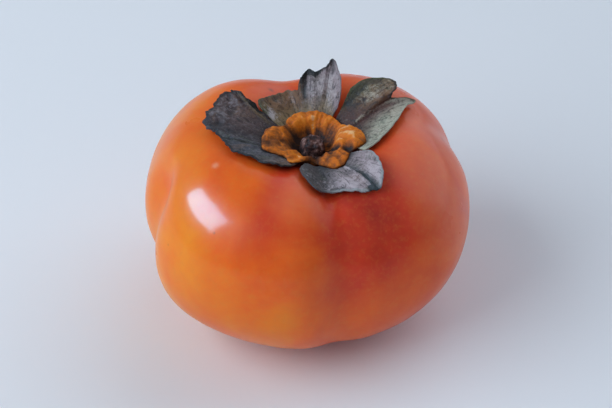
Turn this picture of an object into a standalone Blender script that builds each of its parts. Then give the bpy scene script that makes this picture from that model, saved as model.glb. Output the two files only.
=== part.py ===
"""A ripe squat persimmon (the non-astringent, tomato-shaped kind), built in metres with +Z up.

The fruit is one solid: four rounded lobes parted by four shallow grooves, a basin in the crown for the
calyx, and a small flat spot underneath that it rests on.  The dried calyx lies in the basin: a raised
ring of lumpy tissue round the cut stem stub, with four papery sepals coming out from under it.  A small
dark remnant of the flower's style sits in a dimple in the middle of the underside.

Azimuths are in degrees, anticlockwise seen from above, from +X.  The front of the fruit faces -Y.
"""

import math

import bmesh
import bpy
from mathutils import Vector, noise

MM = 0.001

# --- Fruit body -------------------------------------------------------------------------------------
LOBE_RADIUS = 40.5 * MM         # radius that the body would have with no grooves
CROWN_RISE = 27.7 * MM          # from the widest level up to the crown, before the basin
BASE_DROP = 29.0 * MM           # from the widest level down to the base, before the flat spot
SIDE_POWER = 0.93               # below 1 makes the sides fuller than an ellipse
CROWN_POWER = 0.94              # below 1 makes the crown and the base flatter
# azimuth and relative depth of each broad hollow, the same of the crease along its bottom, and the
# share of both that is left at the crown
GROOVES = ((19.0, 0.35, 19.0, 0.17, 1.0),
           (102.0, 0.85, 102.0, 0.05, 1.0),
           (195.0, 0.35, 195.0, 0.55, 0.1),
           (298.0, 0.90, 284.0, 0.50, 1.0))
CROWN_FADE_START = 0.30         # level where that fading starts: 0 at the widest part, 1 at the crown
CROWN_FADE_SPAN = 0.45
GROOVE_WIDTH = 24.0             # degrees from the bottom of a hollow to a third of its depth
CREASE_WIDTH = 9.5              # the same for a crease
GROOVE_DEPTH = 0.217            # of the radius, at the crown, for a groove of relative depth 1
GROOVE_AT_BASE = 0.35           # share of that depth which is left underneath
SQUARE = 0.03                   # how far the outline leans towards a rounded square, of the radius
SQUARE_AZIMUTH = 30.0           # azimuth of one of its corners
SHOULDER_DIP = 2.0 * MM         # how far a groove sinks the shoulder where it leaves the basin
SHOULDER_DIP_RADIUS = 16.0 * MM
SHOULDER_DIP_SPREAD = 8.0 * MM

BASIN_DEPTH = 12.5 * MM
BASIN_RADIUS = 16.0 * MM

REST_LEVEL = -27.8 * MM         # height of the flat spot below the widest level
REST_BLEND = 0.5 * MM           # half height over which the base rounds into the flat spot
DIMPLE_RADIUS = 5.2 * MM
DIMPLE_DEPTH = 2.0 * MM

FRUIT_SEGMENTS = 56
FRUIT_RINGS = 34
RING_CROWDING = 0.22            # moves the rings towards the crown and the base, where curves are tight

# --- Calyx ------------------------------------------------------------------------------------------
CALYX_X = 1.5 * MM              # the calyx sits a little off the middle of the fruit
CALYX_Y = 0.0
GAP = 0.3 * MM                  # clearance between touching pieces

DISC_RADIUS = 8.6 * MM
DISC_SEAT_RADIUS = 4.0 * MM     # flat seat of the stub
DISC_CREST_RADIUS = 6.6 * MM
DISC_SEAT_LIFT = 1.2 * MM       # heights above the fruit's skin
DISC_CREST_LIFT = 3.6 * MM
DISC_OVERHANG_LIFT = 2.3 * MM   # underside of the part that covers the sepals' bases
DISC_FOOT_RADIUS = 7.2 * MM
DISC_STEP_RADIUS = 8.1 * MM
DISC_ROUGHNESS = 0.25 * MM
DISC_ROUGHNESS_CELL = 1.6 * MM  # size of the bumps
# azimuth, half width in degrees, extra reach and extra height of each lump of the ring
DISC_LUMPS = ((8.0, 20.0, 1.5 * MM, 0.6 * MM),
              (105.0, 36.0, 1.0 * MM, 0.8 * MM),
              (183.0, 26.0, 2.4 * MM, 0.3 * MM),
              (216.0, 20.0, 4.4 * MM, -0.9 * MM),
              (248.0, 10.0, 4.0 * MM, -1.1 * MM),
              (274.0, 12.0, -1.2 * MM, -1.0 * MM),
              (301.0, 20.0, 4.4 * MM, -0.5 * MM),
              (343.0, 22.0, 3.6 * MM, 0.6 * MM))
DISC_SEGMENTS = 60
DISC_RINGS = 22

STUB_RADIUS = 2.7 * MM
STUB_Y = CALYX_Y - 1.1 * MM     # the stub leans a little to the front of the ring
STUB_HEIGHT = 3.2 * MM
STUB_TAPER = 0.82               # width of its top, as a share of the width of its foot
STUB_BREAK = 0.5 * MM           # unevenness of the cut
STUB_BREAK_CELL = 1.5 * MM
STUB_WORN_EDGE = 0.35 * MM
STUB_SEGMENTS = 20

SEPAL_THICKNESS = 0.8 * MM
SEPAL_BASE_LIFT = 1.2 * MM      # mid-surface height above the skin under the ring
SEPAL_ROWS = 6
# Each sepal is a fan of ribs, in order of azimuth.  A rib goes from its base under the ring to the
# sepal's edge: base azimuth, base radius, edge azimuth, edge radius, lift half way, lift at the edge.
SEPALS = {
    "sepal_right": ((338, 10.0, 330, 14.0, 1.3, 1.4),
                    (352, 9.0, 344, 15.6, 1.3, 1.4),
                    (3, 8.6, 2, 18.0, 1.3, 1.4),
                    (12, 8.6, 17, 21.6, 1.3, 1.4),
                    (19, 8.6, 25, 25.4, 1.5, 1.8),
                    (24, 8.6, 30, 28.2, 1.8, 2.2),
                    (27, 8.6, 30, 21.6, 2.2, 2.6),
                    (30, 8.6, 30, 21.8, 2.8, 4.2),
                    (35, 8.6, 33, 23.8, 2.9, 5.0),
                    (40, 8.6, 38, 24.4, 2.9, 5.3),
                    (45, 8.6, 44, 22.4, 2.9, 5.3),
                    (50, 8.6, 50, 19.6, 2.7, 5.1),
                    (54, 8.6, 55, 15.6, 2.3, 4.2)),
    "sepal_back": ((61, 8.6, 58, 11.0, 1.9, 2.8),
                   (65, 8.6, 61, 13.2, 2.8, 5.2),
                   (69, 8.6, 67, 15.6, 3.3, 7.2),
                   (74, 8.6, 74, 19.0, 3.6, 9.6),
                   (81, 8.6, 79, 16.6, 3.5, 8.0),
                   (89, 8.6, 87, 16.2, 3.3, 7.2),
                   (96, 8.6, 95, 17.4, 3.1, 7.0),
                   (101, 8.6, 101, 15.8, 2.6, 5.4),
                   (106, 8.6, 104, 15.6, 1.8, 2.8),
                   (113, 8.6, 112, 17.0, 1.4, 2.0),
                   (122, 8.6, 123, 16.4, 1.3, 1.8),
                   (131, 8.6, 134, 16.0, 1.3, 1.8),
                   (139, 8.7, 143, 15.6, 1.3, 1.6),
                   (145, 9.0, 147, 13.4, 1.3, 1.5)),
    "sepal_left": ((154, 9.0, 158, 15.2, 1.4, 1.8),
                   (160, 8.6, 156, 17.4, 1.6, 2.3),
                   (166, 8.6, 151, 20.0, 1.9, 3.0),
                   (173, 8.6, 154, 22.2, 1.9, 3.2),
                   (181, 8.6, 161, 24.0, 1.8, 2.8),
                   (189, 8.6, 170, 24.4, 1.7, 2.4),
                   (197, 8.6, 179, 25.0, 1.6, 2.1),
                   (205, 8.6, 186, 24.4, 1.5, 1.7),
                   (212, 8.6, 190, 22.8, 1.4, 1.5),
                   (220, 8.6, 201, 21.8, 1.4, 1.4),
                   (229, 8.6, 215, 20.0, 1.4, 1.4),
                   (238, 8.6, 230, 18.4, 1.4, 1.4),
                   (246, 8.8, 243, 16.8, 1.4, 1.4),
                   (252, 9.4, 251, 15.6, 1.4, 1.4)),
    "sepal_front": ((259, 9.5, 259, 15.4, 1.4, 1.4),
                    (265, 8.8, 266, 19.2, 1.4, 1.5),
                    (271, 8.6, 272, 21.4, 1.4, 1.5),
                    (278, 8.6, 279, 20.8, 1.4, 1.5),
                    (285, 8.6, 287, 20.8, 1.4, 1.4),
                    (292, 8.6, 294, 22.2, 1.4, 1.4),
                    (298, 8.6, 299, 23.4, 1.4, 1.4),
                    (303, 8.6, 304, 24.2, 1.5, 1.9),
                    (308, 8.6, 308, 25.6, 1.7, 2.7),
                    (313, 8.8, 312, 23.8, 1.9, 3.2),
                    (318, 9.2, 317, 21.2, 1.9, 3.4),
                    (323, 9.6, 321, 18.2, 1.9, 3.2),
                    (327, 10.0, 324, 15.2, 1.7, 2.6)),
}

TIP_RADIUS = 1.3 * MM
TIP_HEIGHT = 1.2 * MM
TIP_FOOT_SHARE = 0.35           # width of its lower end, as a share of the upper
TIP_ROOF_FALL = 0.25 * MM       # how far the dimple's roof comes down at the rim of the tip
TIP_SEGMENTS = 12


# --- Shape of the skin ------------------------------------------------------------------------------
def smoothstep(value):
    """0 below 0, 1 above 1, and a smooth ramp between."""
    value = min(max(value, 0.0), 1.0)
    return value * value * (3.0 - 2.0 * value)


def angle_between(first, second):
    """Signed difference of two azimuths in degrees, from -180 to 180."""
    return (first - second + 180.0) % 360.0 - 180.0


def groove_strength(azimuth, level):
    """How deep in a groove a place is: about 0 on a lobe, about 1 along a groove.

    The level is 1 at the crown, 0 at the widest part and -1 at the base.
    """
    strength = 0.0
    crown = smoothstep((level - CROWN_FADE_START) / CROWN_FADE_SPAN)
    for hollow_azimuth, hollow, crease_azimuth, crease, crown_share in GROOVES:
        left = 1.0 - (1.0 - crown_share) * crown
        from_hollow = angle_between(azimuth, hollow_azimuth)
        from_crease = angle_between(azimuth, crease_azimuth)
        strength += left * hollow * math.exp(-(from_hollow / GROOVE_WIDTH) ** 2)
        strength += left * crease * math.exp(-(from_crease / CREASE_WIDTH) ** 2)
    return strength


def outline_factor(azimuth, polar):
    """The grooves and the rounded-square outline, as a factor on the radius."""
    fade = GROOVE_AT_BASE + (1.0 - GROOVE_AT_BASE) * (math.cos(polar) + 1.0) / 2.0
    corner = math.cos(math.radians(4.0 * (azimuth - SQUARE_AZIMUTH)))
    grooves = GROOVE_DEPTH * fade * groove_strength(azimuth, math.cos(polar))
    return 1.0 - grooves + SQUARE * corner


def crown_hollow(x, y):
    """Depth taken off the crown at a place in plan: the basin and the dips of the grooves."""
    from_calyx = math.hypot(x - CALYX_X, y - CALYX_Y)
    basin = BASIN_DEPTH * math.exp(-(from_calyx / BASIN_RADIUS) ** 2)
    azimuth = math.degrees(math.atan2(y, x))
    ring = (from_calyx - SHOULDER_DIP_RADIUS) / SHOULDER_DIP_SPREAD
    return basin + SHOULDER_DIP * groove_strength(azimuth, 1.0) * math.exp(-ring ** 2)


def base_height(z, radius):
    """Flatten the base to the rest level and press the dimple into the middle of it."""
    above = z - REST_LEVEL
    if above < -REST_BLEND:
        above = 0.0
    elif above < REST_BLEND:
        above = (above + REST_BLEND) ** 2 / (4.0 * REST_BLEND)
    inside = max(0.0, 1.0 - (radius / DIMPLE_RADIUS) ** 2)
    return above + DIMPLE_DEPTH * inside ** 2


def skin_point(polar, azimuth):
    """A point of the skin.  Polar runs from 0 at the crown to 180 degrees at the base."""
    angle = math.radians(azimuth)
    radius = LOBE_RADIUS * math.sin(polar) ** SIDE_POWER * outline_factor(azimuth, polar)
    x = radius * math.cos(angle)
    y = radius * math.sin(angle)
    level = math.cos(polar)
    if level > 0.0:
        return Vector((x, y, CROWN_RISE * level ** CROWN_POWER - crown_hollow(x, y) - REST_LEVEL))
    return Vector((x, y, base_height(-BASE_DROP * (-level) ** CROWN_POWER, radius)))


def crown_height(x, y):
    """Height of the skin on the upper half of the fruit, at a place in plan."""
    radius = math.hypot(x, y)
    azimuth = math.degrees(math.atan2(y, x))
    polar = 0.5
    for _ in range(25):
        share = min(radius / (LOBE_RADIUS * outline_factor(azimuth, polar)), 0.999)
        polar = math.asin(share ** (1.0 / SIDE_POWER))
    return CROWN_RISE * math.cos(polar) ** CROWN_POWER - crown_hollow(x, y) - REST_LEVEL


def body_centre():
    """Middle of the body's outline in plan, which becomes the origin."""
    points = [skin_point(math.radians(polar), azimuth)
              for polar in range(60, 121, 2)
              for azimuth in range(0, 360, 2)]
    x_values = [point.x for point in points]
    y_values = [point.y for point in points]
    return Vector(((min(x_values) + max(x_values)) / 2.0, (min(y_values) + max(y_values)) / 2.0, 0.0))


# --- Blender helpers --------------------------------------------------------------------------------
def clear_scene():
    for item in list(bpy.data.objects):
        bpy.data.objects.remove(item, do_unlink=True)


def make_material(name, colour, roughness):
    material = bpy.data.materials.new(name)
    material.use_nodes = True
    shader = material.node_tree.nodes["Principled BSDF"]
    shader.inputs["Base Color"].default_value = (*colour, 1.0)
    shader.inputs["Roughness"].default_value = roughness
    shader.inputs["Metallic"].default_value = 0.0
    return material


def add_object(name, mesh_edit, collection, material, centre):
    """Turn an edited mesh into a named, smooth-shaded object with its material."""
    bmesh.ops.recalc_face_normals(mesh_edit, faces=mesh_edit.faces)
    if mesh_edit.calc_volume(signed=True) < 0.0:
        bmesh.ops.reverse_faces(mesh_edit, faces=mesh_edit.faces)
    mesh = bpy.data.meshes.new(name)
    mesh_edit.to_mesh(mesh)
    mesh_edit.free()
    mesh.shade_smooth()
    mesh.materials.append(material)
    item = bpy.data.objects.new(name, mesh)
    item.location = -centre
    collection.objects.link(item)
    return item


def sphere_grid(segments, rings):
    """A unit UV sphere and, for each vertex, its polar angle in radians and azimuth in degrees."""
    mesh_edit = bmesh.new()
    bmesh.ops.create_uvsphere(mesh_edit, u_segments=segments, v_segments=rings, radius=1.0)
    places = []
    for vertex in mesh_edit.verts:
        polar = math.acos(min(max(vertex.co.z, -1.0), 1.0))
        azimuth = math.degrees(math.atan2(vertex.co.y, vertex.co.x))
        places.append((vertex, polar, azimuth))
    return mesh_edit, places


def over_calyx(azimuth, radius, lift):
    """A point at polar coordinates round the calyx, lifted above the skin."""
    x = CALYX_X + radius * math.cos(math.radians(azimuth))
    y = CALYX_Y + radius * math.sin(math.radians(azimuth))
    return Vector((x, y, crown_height(x, y) + lift))


# --- Pieces -----------------------------------------------------------------------------------------
def make_fruit(collection, material, centre):
    mesh_edit, places = sphere_grid(FRUIT_SEGMENTS, FRUIT_RINGS)
    for vertex, polar, azimuth in places:
        crowded = polar - RING_CROWDING * math.sin(2.0 * polar)
        vertex.co = skin_point(max(crowded, 0.0), azimuth)
    return add_object("fruit", mesh_edit, collection, material, centre)


def disc_reach(azimuth):
    """Outer radius and crest lift of the ring at an azimuth."""
    reach = DISC_RADIUS
    crest = DISC_CREST_LIFT
    for lump_azimuth, half_width, extra_reach, extra_height in DISC_LUMPS:
        weight = math.exp(-(angle_between(azimuth, lump_azimuth) / half_width) ** 2)
        reach += extra_reach * weight
        crest += extra_height * weight
    return reach, crest


def disc_top_lift(radius, reach, crest):
    """Lift of the ring's upper side: a flat seat, a rise to the crest, a round fall to the edge."""
    if radius < DISC_CREST_RADIUS:
        rise = (radius - DISC_SEAT_RADIUS) / (DISC_CREST_RADIUS - DISC_SEAT_RADIUS)
        return DISC_SEAT_LIFT + (crest - DISC_SEAT_LIFT) * smoothstep(rise)
    fall = (radius - DISC_CREST_RADIUS) / (reach - DISC_CREST_RADIUS)
    return DISC_OVERHANG_LIFT + (crest - DISC_OVERHANG_LIFT) * math.sqrt(max(0.0, 1.0 - fall ** 3))


def disc_under_lift(radius):
    """Lift of the ring's underside: it sits on the skin inside and on the sepals outside."""
    step = smoothstep((radius - DISC_FOOT_RADIUS) / (DISC_STEP_RADIUS - DISC_FOOT_RADIUS))
    return GAP + (DISC_OVERHANG_LIFT - GAP) * step


def make_calyx_disc(collection, material, centre):
    mesh_edit, places = sphere_grid(DISC_SEGMENTS, DISC_RINGS)
    for vertex, polar, azimuth in places:
        reach, crest = disc_reach(azimuth)
        share = min(polar, math.pi - polar) / (math.pi / 2.0)
        radius = reach * share
        if polar < math.pi / 2.0 - 0.01:
            lift = disc_top_lift(radius, reach, crest)
            bump = noise.noise(over_calyx(azimuth, radius, 0.0) / DISC_ROUGHNESS_CELL)
            lift += DISC_ROUGHNESS * bump * smoothstep((radius - DISC_SEAT_RADIUS) / MM)
        else:
            lift = disc_under_lift(radius)
        vertex.co = over_calyx(azimuth, radius, lift)
    return add_object("calyx_disc", mesh_edit, collection, material, centre)


def make_stem_stub(collection, material, centre):
    mesh_edit = bmesh.new()
    bmesh.ops.create_cone(mesh_edit, cap_ends=True, segments=STUB_SEGMENTS, radius1=STUB_RADIUS,
                          radius2=STUB_RADIUS * STUB_TAPER, depth=STUB_HEIGHT)
    bottom = crown_height(CALYX_X, CALYX_Y) + DISC_SEAT_LIFT + 2.0 * GAP
    bmesh.ops.translate(mesh_edit, verts=mesh_edit.verts,
                        vec=(CALYX_X, STUB_Y, bottom + STUB_HEIGHT / 2.0))
    for vertex in mesh_edit.verts:
        if vertex.co.z > bottom + STUB_HEIGHT / 2.0:
            vertex.co.z += STUB_BREAK * noise.noise(vertex.co / STUB_BREAK_CELL)
    item = add_object("stem_stub", mesh_edit, collection, material, centre)
    bevel = item.modifiers.new("worn_edge", "BEVEL")
    bevel.width = STUB_WORN_EDGE
    bevel.segments = 2
    bevel.limit_method = "ANGLE"
    return item


def sepal_cage(ribs):
    """Grid of points of a sepal's mid-surface: one row of points for each rib."""
    grid = []
    for base_azimuth, base_radius, edge_azimuth, edge_radius, mid_lift, edge_lift in ribs:
        row = []
        for step in range(SEPAL_ROWS):
            share = step / (SEPAL_ROWS - 1)
            azimuth = base_azimuth + angle_between(edge_azimuth, base_azimuth) * share
            radius = (base_radius + (edge_radius - base_radius) * share) * MM
            lift = (SEPAL_BASE_LIFT * (1.0 - share) * (1.0 - 2.0 * share)
                    + 4.0 * mid_lift * MM * share * (1.0 - share)
                    + edge_lift * MM * share * (2.0 * share - 1.0))
            row.append(over_calyx(azimuth, radius, lift))
        grid.append(row)
    return grid


def make_sepal(name, ribs, collection, material, centre):
    mesh_edit = bmesh.new()
    rows = [[mesh_edit.verts.new(point) for point in row] for row in sepal_cage(ribs)]
    for near, far in zip(rows, rows[1:]):
        for step in range(SEPAL_ROWS - 1):
            mesh_edit.faces.new((near[step], near[step + 1], far[step + 1], far[step]))
    item = add_object(name, mesh_edit, collection, material, centre)
    solid = item.modifiers.new("thickness", "SOLIDIFY")
    solid.thickness = SEPAL_THICKNESS
    solid.offset = 0.0
    smooth = item.modifiers.new("smooth", "SUBSURF")
    smooth.levels = 1
    smooth.render_levels = 1
    return item


def make_blossom_tip(collection, material, centre):
    mesh_edit = bmesh.new()
    bmesh.ops.create_cone(mesh_edit, cap_ends=True, segments=TIP_SEGMENTS,
                          radius1=TIP_RADIUS * TIP_FOOT_SHARE, radius2=TIP_RADIUS, depth=TIP_HEIGHT)
    top = DIMPLE_DEPTH - GAP - TIP_ROOF_FALL
    bmesh.ops.translate(mesh_edit, verts=mesh_edit.verts, vec=(0.0, 0.0, top - TIP_HEIGHT / 2.0))
    return add_object("blossom_tip", mesh_edit, collection, material, centre)


def build():
    clear_scene()
    collection = bpy.data.collections.new("persimmon")
    bpy.context.scene.collection.children.link(collection)
    skin = make_material("orange_skin", (0.72, 0.16, 0.02), 0.25)
    ring = make_material("calyx_ring", (0.55, 0.22, 0.03), 0.85)
    wood = make_material("stub_wood", (0.05, 0.03, 0.03), 0.80)
    dried = make_material("dried_sepal", (0.16, 0.16, 0.17), 0.75)
    husk = make_material("blossom_husk", (0.03, 0.02, 0.01), 0.90)
    centre = body_centre()
    make_fruit(collection, skin, centre)
    make_calyx_disc(collection, ring, centre)
    make_stem_stub(collection, wood, centre)
    for name, ribs in SEPALS.items():
        make_sepal(name, ribs, collection, dried, centre)
    make_blossom_tip(collection, husk, centre)


build()
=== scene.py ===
"""Looks of the persimmon: fine skin, dried calyx and stub, pale floor, window light and camera.

Lengths are in metres, +Z up, the front of the fruit faces -Y.  Azimuths are in degrees, anticlockwise
seen from above, from +X.  The fine surfaces follow the same shape rules as the CAD solids, and their
place comes from the frame.
"""

import math

import bmesh
import bpy
import numpy as np
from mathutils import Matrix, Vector, noise


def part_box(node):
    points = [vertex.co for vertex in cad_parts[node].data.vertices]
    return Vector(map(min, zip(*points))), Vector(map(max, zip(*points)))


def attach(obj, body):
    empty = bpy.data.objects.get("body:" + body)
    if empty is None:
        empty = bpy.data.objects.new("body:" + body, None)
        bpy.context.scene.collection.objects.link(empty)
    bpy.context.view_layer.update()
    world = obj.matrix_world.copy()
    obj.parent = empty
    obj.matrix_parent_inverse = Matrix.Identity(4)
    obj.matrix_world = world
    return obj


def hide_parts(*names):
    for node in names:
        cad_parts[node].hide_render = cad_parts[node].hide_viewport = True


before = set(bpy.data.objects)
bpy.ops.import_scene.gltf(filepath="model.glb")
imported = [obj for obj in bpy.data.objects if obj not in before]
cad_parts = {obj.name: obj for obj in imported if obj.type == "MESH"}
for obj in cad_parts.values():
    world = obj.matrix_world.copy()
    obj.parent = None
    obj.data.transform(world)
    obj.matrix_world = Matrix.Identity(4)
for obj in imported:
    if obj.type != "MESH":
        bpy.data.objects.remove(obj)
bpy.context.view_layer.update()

MM = 0.001

# --- View and light ---------------------------------------------------------------------------------
CAMERA_ELEVATION = 38.5
CAMERA_DISTANCE = 0.693
CAMERA_LENS = 172.0             # the lens and the sensor width are in millimetres
CAMERA_SENSOR = 36.0
CAMERA_NEAREST = 0.01
CAMERA_FARTHEST = 20.0

WINDOW_DISTANCE = 1.10
WINDOW_DIRECTION = Vector((-0.740, -0.300, 0.600))
WINDOW_SIZE = (1.10, 0.90)
WINDOW_POWER = 9.1
WINDOW_COLOUR = (0.88, 0.94, 1.0)
# the bright part of the window, which only shows in the gloss
GLEAM_DIRECTION = Vector((-0.780, -0.100, 0.625))
GLEAM_SIZE = (0.74, 0.42)
GLEAM_POWER = 39.0
GLEAM_COLOUR = (0.28, 0.69, 1.0)
SKY_COLOUR = (0.80, 0.90, 1.0)
ROOM_STRENGTH = 0.275
BRIGHT_WALL_STRENGTH = 1.38
BRIGHT_WALL_DIRECTION = Vector((0.62, 0.60, 0.50))
BRIGHT_WALL_EDGE = 0.66         # cosine of the angle at which the wall's light fades out
BRIGHT_WALL_CORE = 0.90
FLOOR_COLOUR = (0.86, 0.885, 0.935)
FLOOR_SHADE = 0.985             # how much light the darker parts of the floor keep
FLOOR_SIZE = 40.0

# --- Fruit, the same rules as the solid -------------------------------------------------------------
LOBE_RADIUS = 40.5 * MM
CROWN_RISE = 27.7 * MM
BASE_DROP = 29.0 * MM
SIDE_POWER = 0.93
CROWN_POWER = 0.94
# azimuth and relative depth of each broad hollow, the same of the crease along its bottom, and the
# share of both that is left at the crown
GROOVES = ((19.0, 0.35, 19.0, 0.17, 1.0),
           (102.0, 0.85, 102.0, 0.05, 1.0),
           (195.0, 0.35, 195.0, 0.55, 0.1),
           (298.0, 0.90, 284.0, 0.50, 1.0))
CROWN_FADE_START = 0.30
CROWN_FADE_SPAN = 0.45
GROOVE_WIDTH = 24.0
CREASE_WIDTH = 9.5
GROOVE_DEPTH = 0.217
GROOVE_AT_BASE = 0.35
SQUARE = 0.03
SQUARE_AZIMUTH = 30.0
SHOULDER_DIP = 2.0 * MM
SHOULDER_DIP_RADIUS = 16.0 * MM
SHOULDER_DIP_SPREAD = 8.0 * MM
BASIN_DEPTH = 12.5 * MM
BASIN_RADIUS = 16.0 * MM
REST_LEVEL = -27.8 * MM
REST_BLEND = 0.5 * MM
DIMPLE_RADIUS = 5.2 * MM
DIMPLE_DEPTH = 2.0 * MM
WIDEST_ANGLES = np.arange(60, 121, 2.0)     # degrees from the crown
CROWN_STEPS = 25
NEAR_RIM = 0.999                # share of the radius beyond which the crown's height is taken there
FRUIT_MESH = (288, 176)         # segments round and rings down, here and below
RING_CROWDING = 0.22            # how much closer the rings stand near the poles
FRUIT_MIDDLE = np.array((0.0, 0.0, -REST_LEVEL))
SKIN_LUMP = 0.22 * MM
SKIN_LUMP_WIDTH = 14.0 * MM
SKIN_RIPPLE = 0.06 * MM
SKIN_RIPPLE_WIDTH = 4.5 * MM
SKIN_INSET = 0.10 * MM          # keeps the lumps inside the solid
SMOOTH_BELOW = 3.0 * MM         # the lumps fade out from this height down to the floor

# --- Where the skin is redder, painted with shade and sheen, scarred or stained ---------------------
# the upper part of the fruit, over which most of the redness and painted shade fades in
UPPER_START = 20.0 * MM
UPPER_SPAN = 25.0 * MM
BLUSH_BASE = 0.33
# painted shade: the skin is redder and darker to the right, away from the window
PAINTED_SHADE_TO_RIGHT = 0.20
# painted shade: deeper red in the grooves, up to a limit of the groove value
PAINTED_SHADE_IN_GROOVES = 0.14
GROOVE_SHADE_LIMIT = 1.4
# painted shade: deeper red round the calyx, under the sepals
PAINTED_SHADE_AT_CALYX = 0.40
PAINTED_SHADE_AT_CALYX_RADIUS = 17.5 * MM
# azimuth, half width in degrees and extra redness of the red streaks; the one at 300° is painted shade in
# the front valley, and the one at 251° deepens the red in front of the calyx, partly as painted shade
# under the sepals
RED_STREAKS_AND_SHADE = ((300.0, 23.0, 0.37),
                 (251.0, 9.0, 0.27))
# painted shade: deeper red behind the calyx, where the sepals shade the skin
BEHIND_AZIMUTH = 110.0
BEHIND_WIDTH = 55.0
BEHIND_RADIUS = 24.0 * MM
PAINTED_SHADE_BEHIND_CALYX = 0.20
# the skin is redder and darker towards the bottom
REDDER_LOW = 0.10
UNDER_HEIGHT = 12.0 * MM
HAZE_EVERYWHERE = 0.055
# azimuth, angle from the crown, radius and strength of each soft spot of painted sheen, where the skin is
# paler as if it reflected the bright room; the sheen at the front adds to the haze everywhere, and at the
# sides the stronger of the two counts
FRONT_SHEEN_SPOTS = ((263, 36, 10.0 * MM, 0.20),)
SIDE_SHEEN_SPOTS = ((338, 64, 24.0 * MM, 0.20),
             (12, 62, 20.0 * MM, 0.28))
SCARS = ((213, 35, 1.3 * MM, 0.55),
         (150, 62, 1.1 * MM, 0.4))
STAINS = ((115, 31, 1.0 * MM, 0.8),
          (12, 60, 0.8 * MM, 0.6))
DIMPLE_STAIN = 0.75
DIMPLE_STAIN_RADIUS = 2.6 * MM
DIMPLE_STAIN_BELOW = 10.0 * MM

# --- Calyx ------------------------------------------------------------------------------------------
CALYX_X = 1.5 * MM
CALYX_Y = 0.0
RING_RADIUS = 8.6 * MM
RING_SEAT_RADIUS = 3.9 * MM
RING_CREST_RADIUS = 6.7 * MM
RING_SEAT_LIFT = 1.2 * MM
RING_CREST_LIFT = 3.6 * MM
RING_EDGE_LIFT = 1.7 * MM
RING_UNDER_LIFT = 0.3 * MM
RING_UNDER_RADIUS = 7.2 * MM
RING_UNDER_SPREAD = 0.9 * MM
RING_WAVER = 0.55 * MM
RING_FINE_WAVER = 0.30 * MM
RING_MESH = (220, 120)
# azimuth, half width in degrees, extra reach and extra height of each lump of the ring
RING_LUMPS = ((8.0, 20.0, 1.5 * MM, 0.6 * MM),
              (105.0, 36.0, 1.0 * MM, 0.8 * MM),
              (148.0, 13.0, -1.5 * MM, -0.8 * MM),
              (183.0, 26.0, 2.4 * MM, 0.3 * MM),
              (216.0, 20.0, 4.4 * MM, -0.9 * MM),
              (248.0, 9.0, 4.4 * MM, -1.3 * MM),
              (274.0, 12.0, -1.6 * MM, -1.3 * MM),
              (301.0, 20.0, 4.4 * MM, -0.5 * MM),
              (327.0, 8.0, -0.8 * MM, -1.2 * MM),
              (343.0, 22.0, 3.6 * MM, 0.6 * MM))
# azimuth, half width in degrees and how much paler the ring is there
RING_TONES = ((205.0, 40.0, -0.24),
              (148.0, 12.0, -0.30),
              (248.0, 6.0, 0.20),
              (273.0, 13.0, -0.55),
              (302.0, 12.0, -0.27),
              (327.0, 8.0, -0.45),
              (100.0, 45.0, 0.09),
              (0.0, 28.0, 0.12))
# azimuth and half width in degrees, radius, half reach and strength of the pale strand on the ring
STRAND = (88.0, 5.0, 5.0 * MM, 1.6 * MM, 0.55)
# the ruffles, pleats and grains of the ring's tissue, and where the first two are strongest
RING_RUFFLE = 1.05 * MM
RING_RUFFLE_WIDTH = 3.4 * MM
RING_PLEAT = 0.75 * MM
RING_PLEAT_WIDTH = 14.0 * MM
RING_GRAIN = 0.38 * MM
RING_GRAIN_WIDTH = 1.3 * MM
LIVELY_AZIMUTH = 345.0
LIVELY_WIDTH = 48.0
STUB_RADIUS = 2.8 * MM
STUB_HEIGHT = 3.3 * MM
STUB_Y = CALYX_Y - 1.1 * MM
STUB_FACE = 1.35                # above 1, the top and bottom end before the widest ring of the mesh
STUB_TAPER = 0.10
STUB_DOME = 0.55 * MM
STUB_CHIP = 0.55 * MM
STUB_CHIP_WIDTH = 1.5 * MM
STUB_SPLINTER = 0.30 * MM
STUB_SPLINTER_WIDTH = 0.8 * MM
STUB_MESH = (96, 64)
SEPAL_THICKNESS = 0.42 * MM
SEPAL_BASE_LIFT = 1.2 * MM
SEPAL_COLUMNS = 230
SEPAL_ROWS = 84
CRINKLE_WIDTH = 3.4 * MM
FINE_CRINKLE_WIDTH = 1.5 * MM
PIT_WIDTH = 0.7 * MM
CLEARANCE = 0.55 * MM           # least height of a sepal over the skin, at its base
CLEARANCE_GAIN = 0.25 * MM      # how much more that is at its edge
EDGE_BAND = 0.12                # share of the length that is rim, at the edge
SIDE_BAND = 0.035               # share of the width that is rim, at each side
ROLL_START = 0.80               # share of the length from which the edge curls

# --- Underside --------------------------------------------------------------------------------------
TIP_RADIUS = 1.15 * MM
TIP_PETALS = 0.32
TIP_MESH = (64, 40)

# --- Colours ----------------------------------------------------------------------------------------
SKIN_TONES = ((0.0, (0.95, 0.320, 0.010)),
              (0.35, (0.89, 0.142, 0.005)),
              (0.70, (0.66, 0.038, 0.004)),
              (1.0, (0.38, 0.015, 0.004)))
SKIN_GRAIN = (0.72, 0.26, 0.04)
SKIN_DOT = (0.76, 0.32, 0.07)
SKIN_SPECK = (0.16, 0.05, 0.015)
# pink of the even haze and of the painted sheen
SKIN_HAZE_AND_SHEEN = (0.62, 0.34, 0.34)
SCAR_TONE = (0.86, 0.50, 0.34)
STAIN_TONE = (0.14, 0.045, 0.02)
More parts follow.
